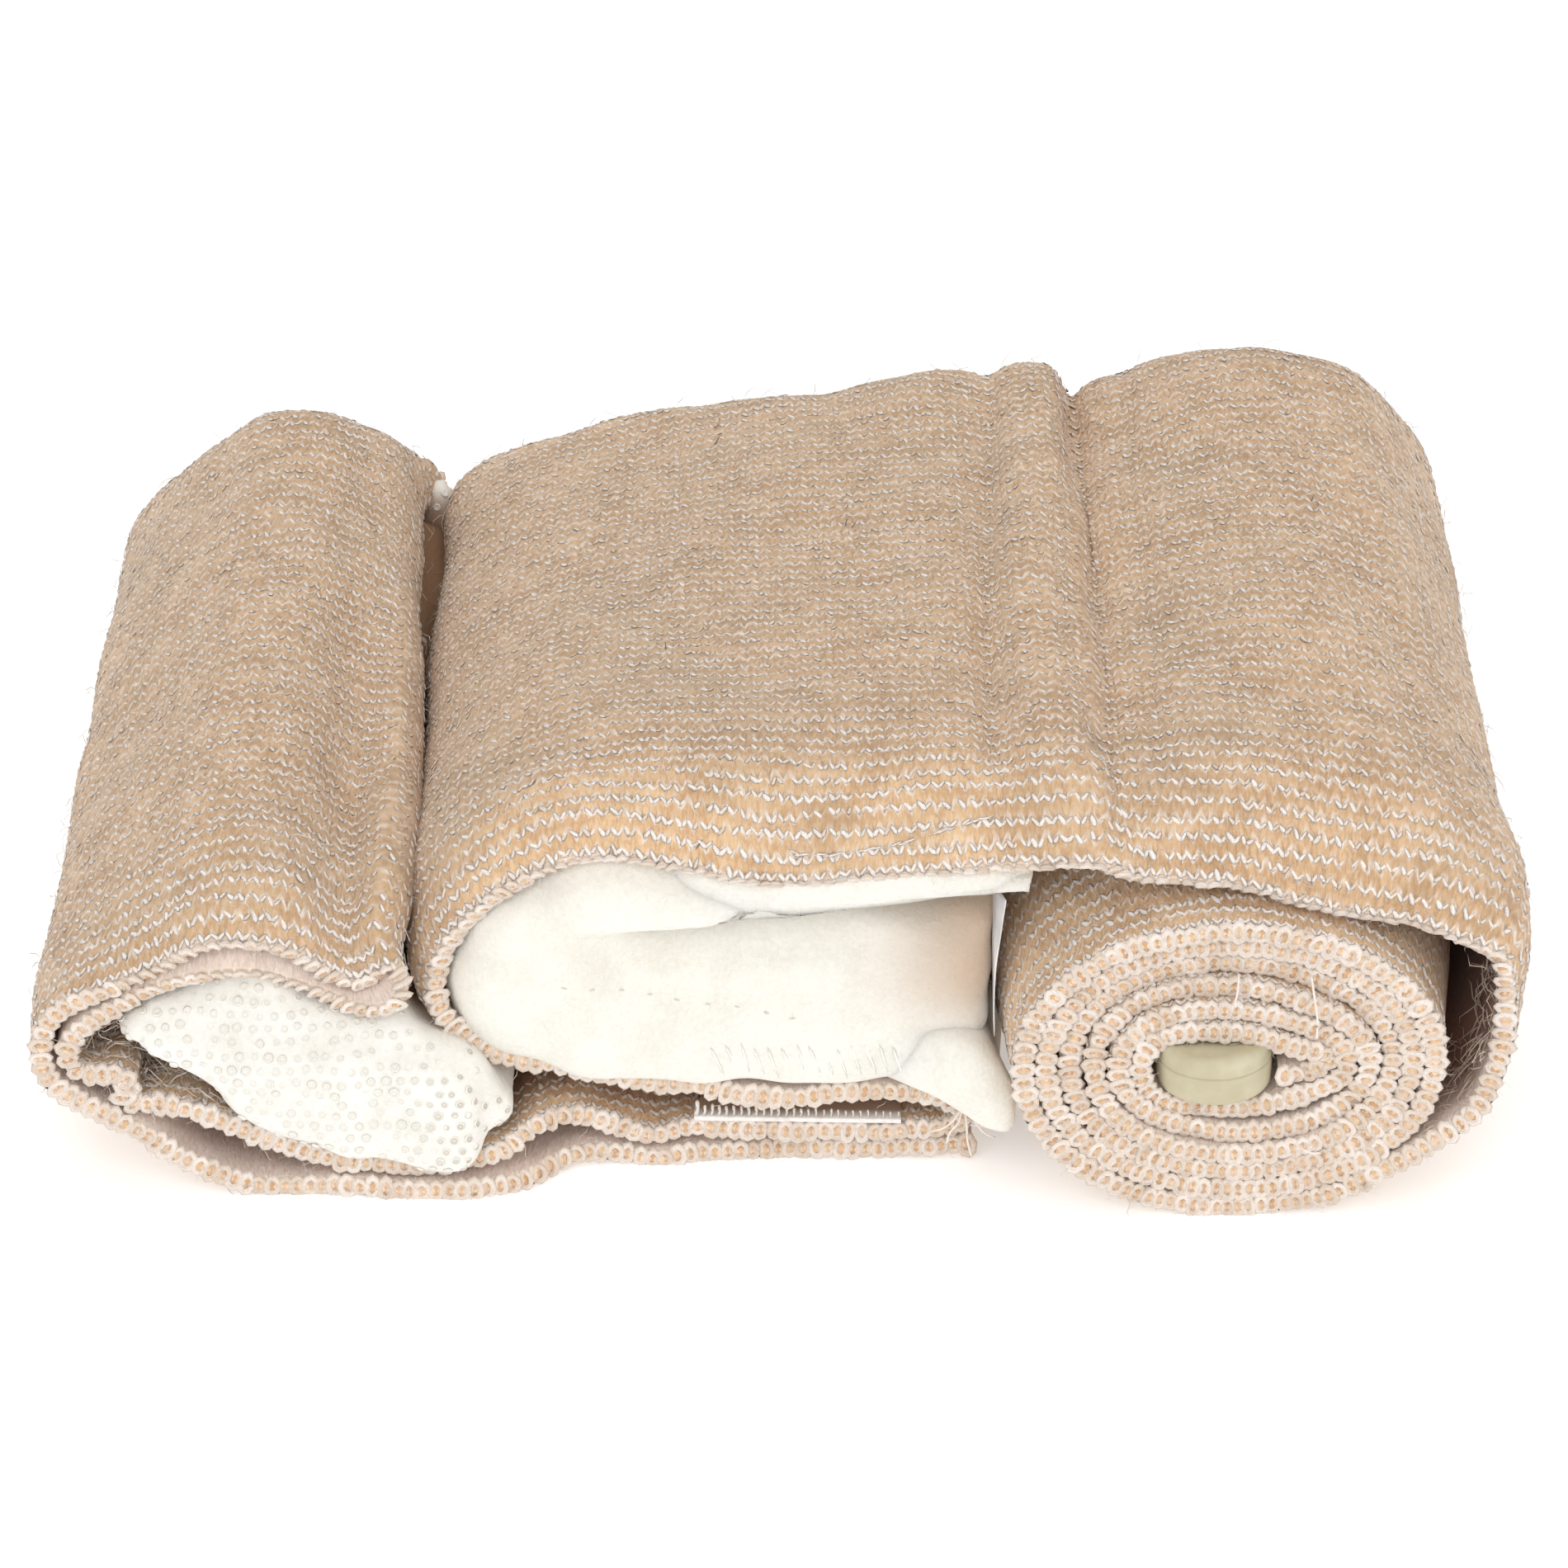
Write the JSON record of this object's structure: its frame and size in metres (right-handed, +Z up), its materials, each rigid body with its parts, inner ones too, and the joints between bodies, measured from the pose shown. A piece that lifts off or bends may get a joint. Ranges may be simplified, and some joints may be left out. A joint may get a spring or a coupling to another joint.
{
  "type": "emergency pressure bandage, folded and rolled",
  "caption": "Knitted elastic bandage folded round its fleece and film-faced pads, with the tail wound round a flat closure bar.",
  "frame": {"origin": "middle of the footprint, on the surface that the bandage rests on", "axes": "+X along the bundle from the folded pads to the roll, +Y away from the front selvedges, +Z up"},
  "size_m": [0.1351, 0.1112, 0.0428],
  "materials": {
    "elastic_knit": "knitted elastic, tan outside with white zigzag rows, brushed pinkish white inside",
    "fleece": "soft ivory fleece with quilting stitches",
    "pad_facing": "absorbent pad under a thin dimpled film",
    "bar_plastic": "satin moulded khaki plastic",
    "hook_tape": "white moulded hook strip",
    "clear_sheet": "thin clear film"
  },
  "bodies": {
    "root": {"elastic_wrap": "elastic_knit", "fleece_pad": "fleece", "film_pad": "pad_facing", "closure_bar": "bar_plastic", "hook_strip": "hook_tape", "clear_film": "clear_sheet"}
  },
  "joints": []
}
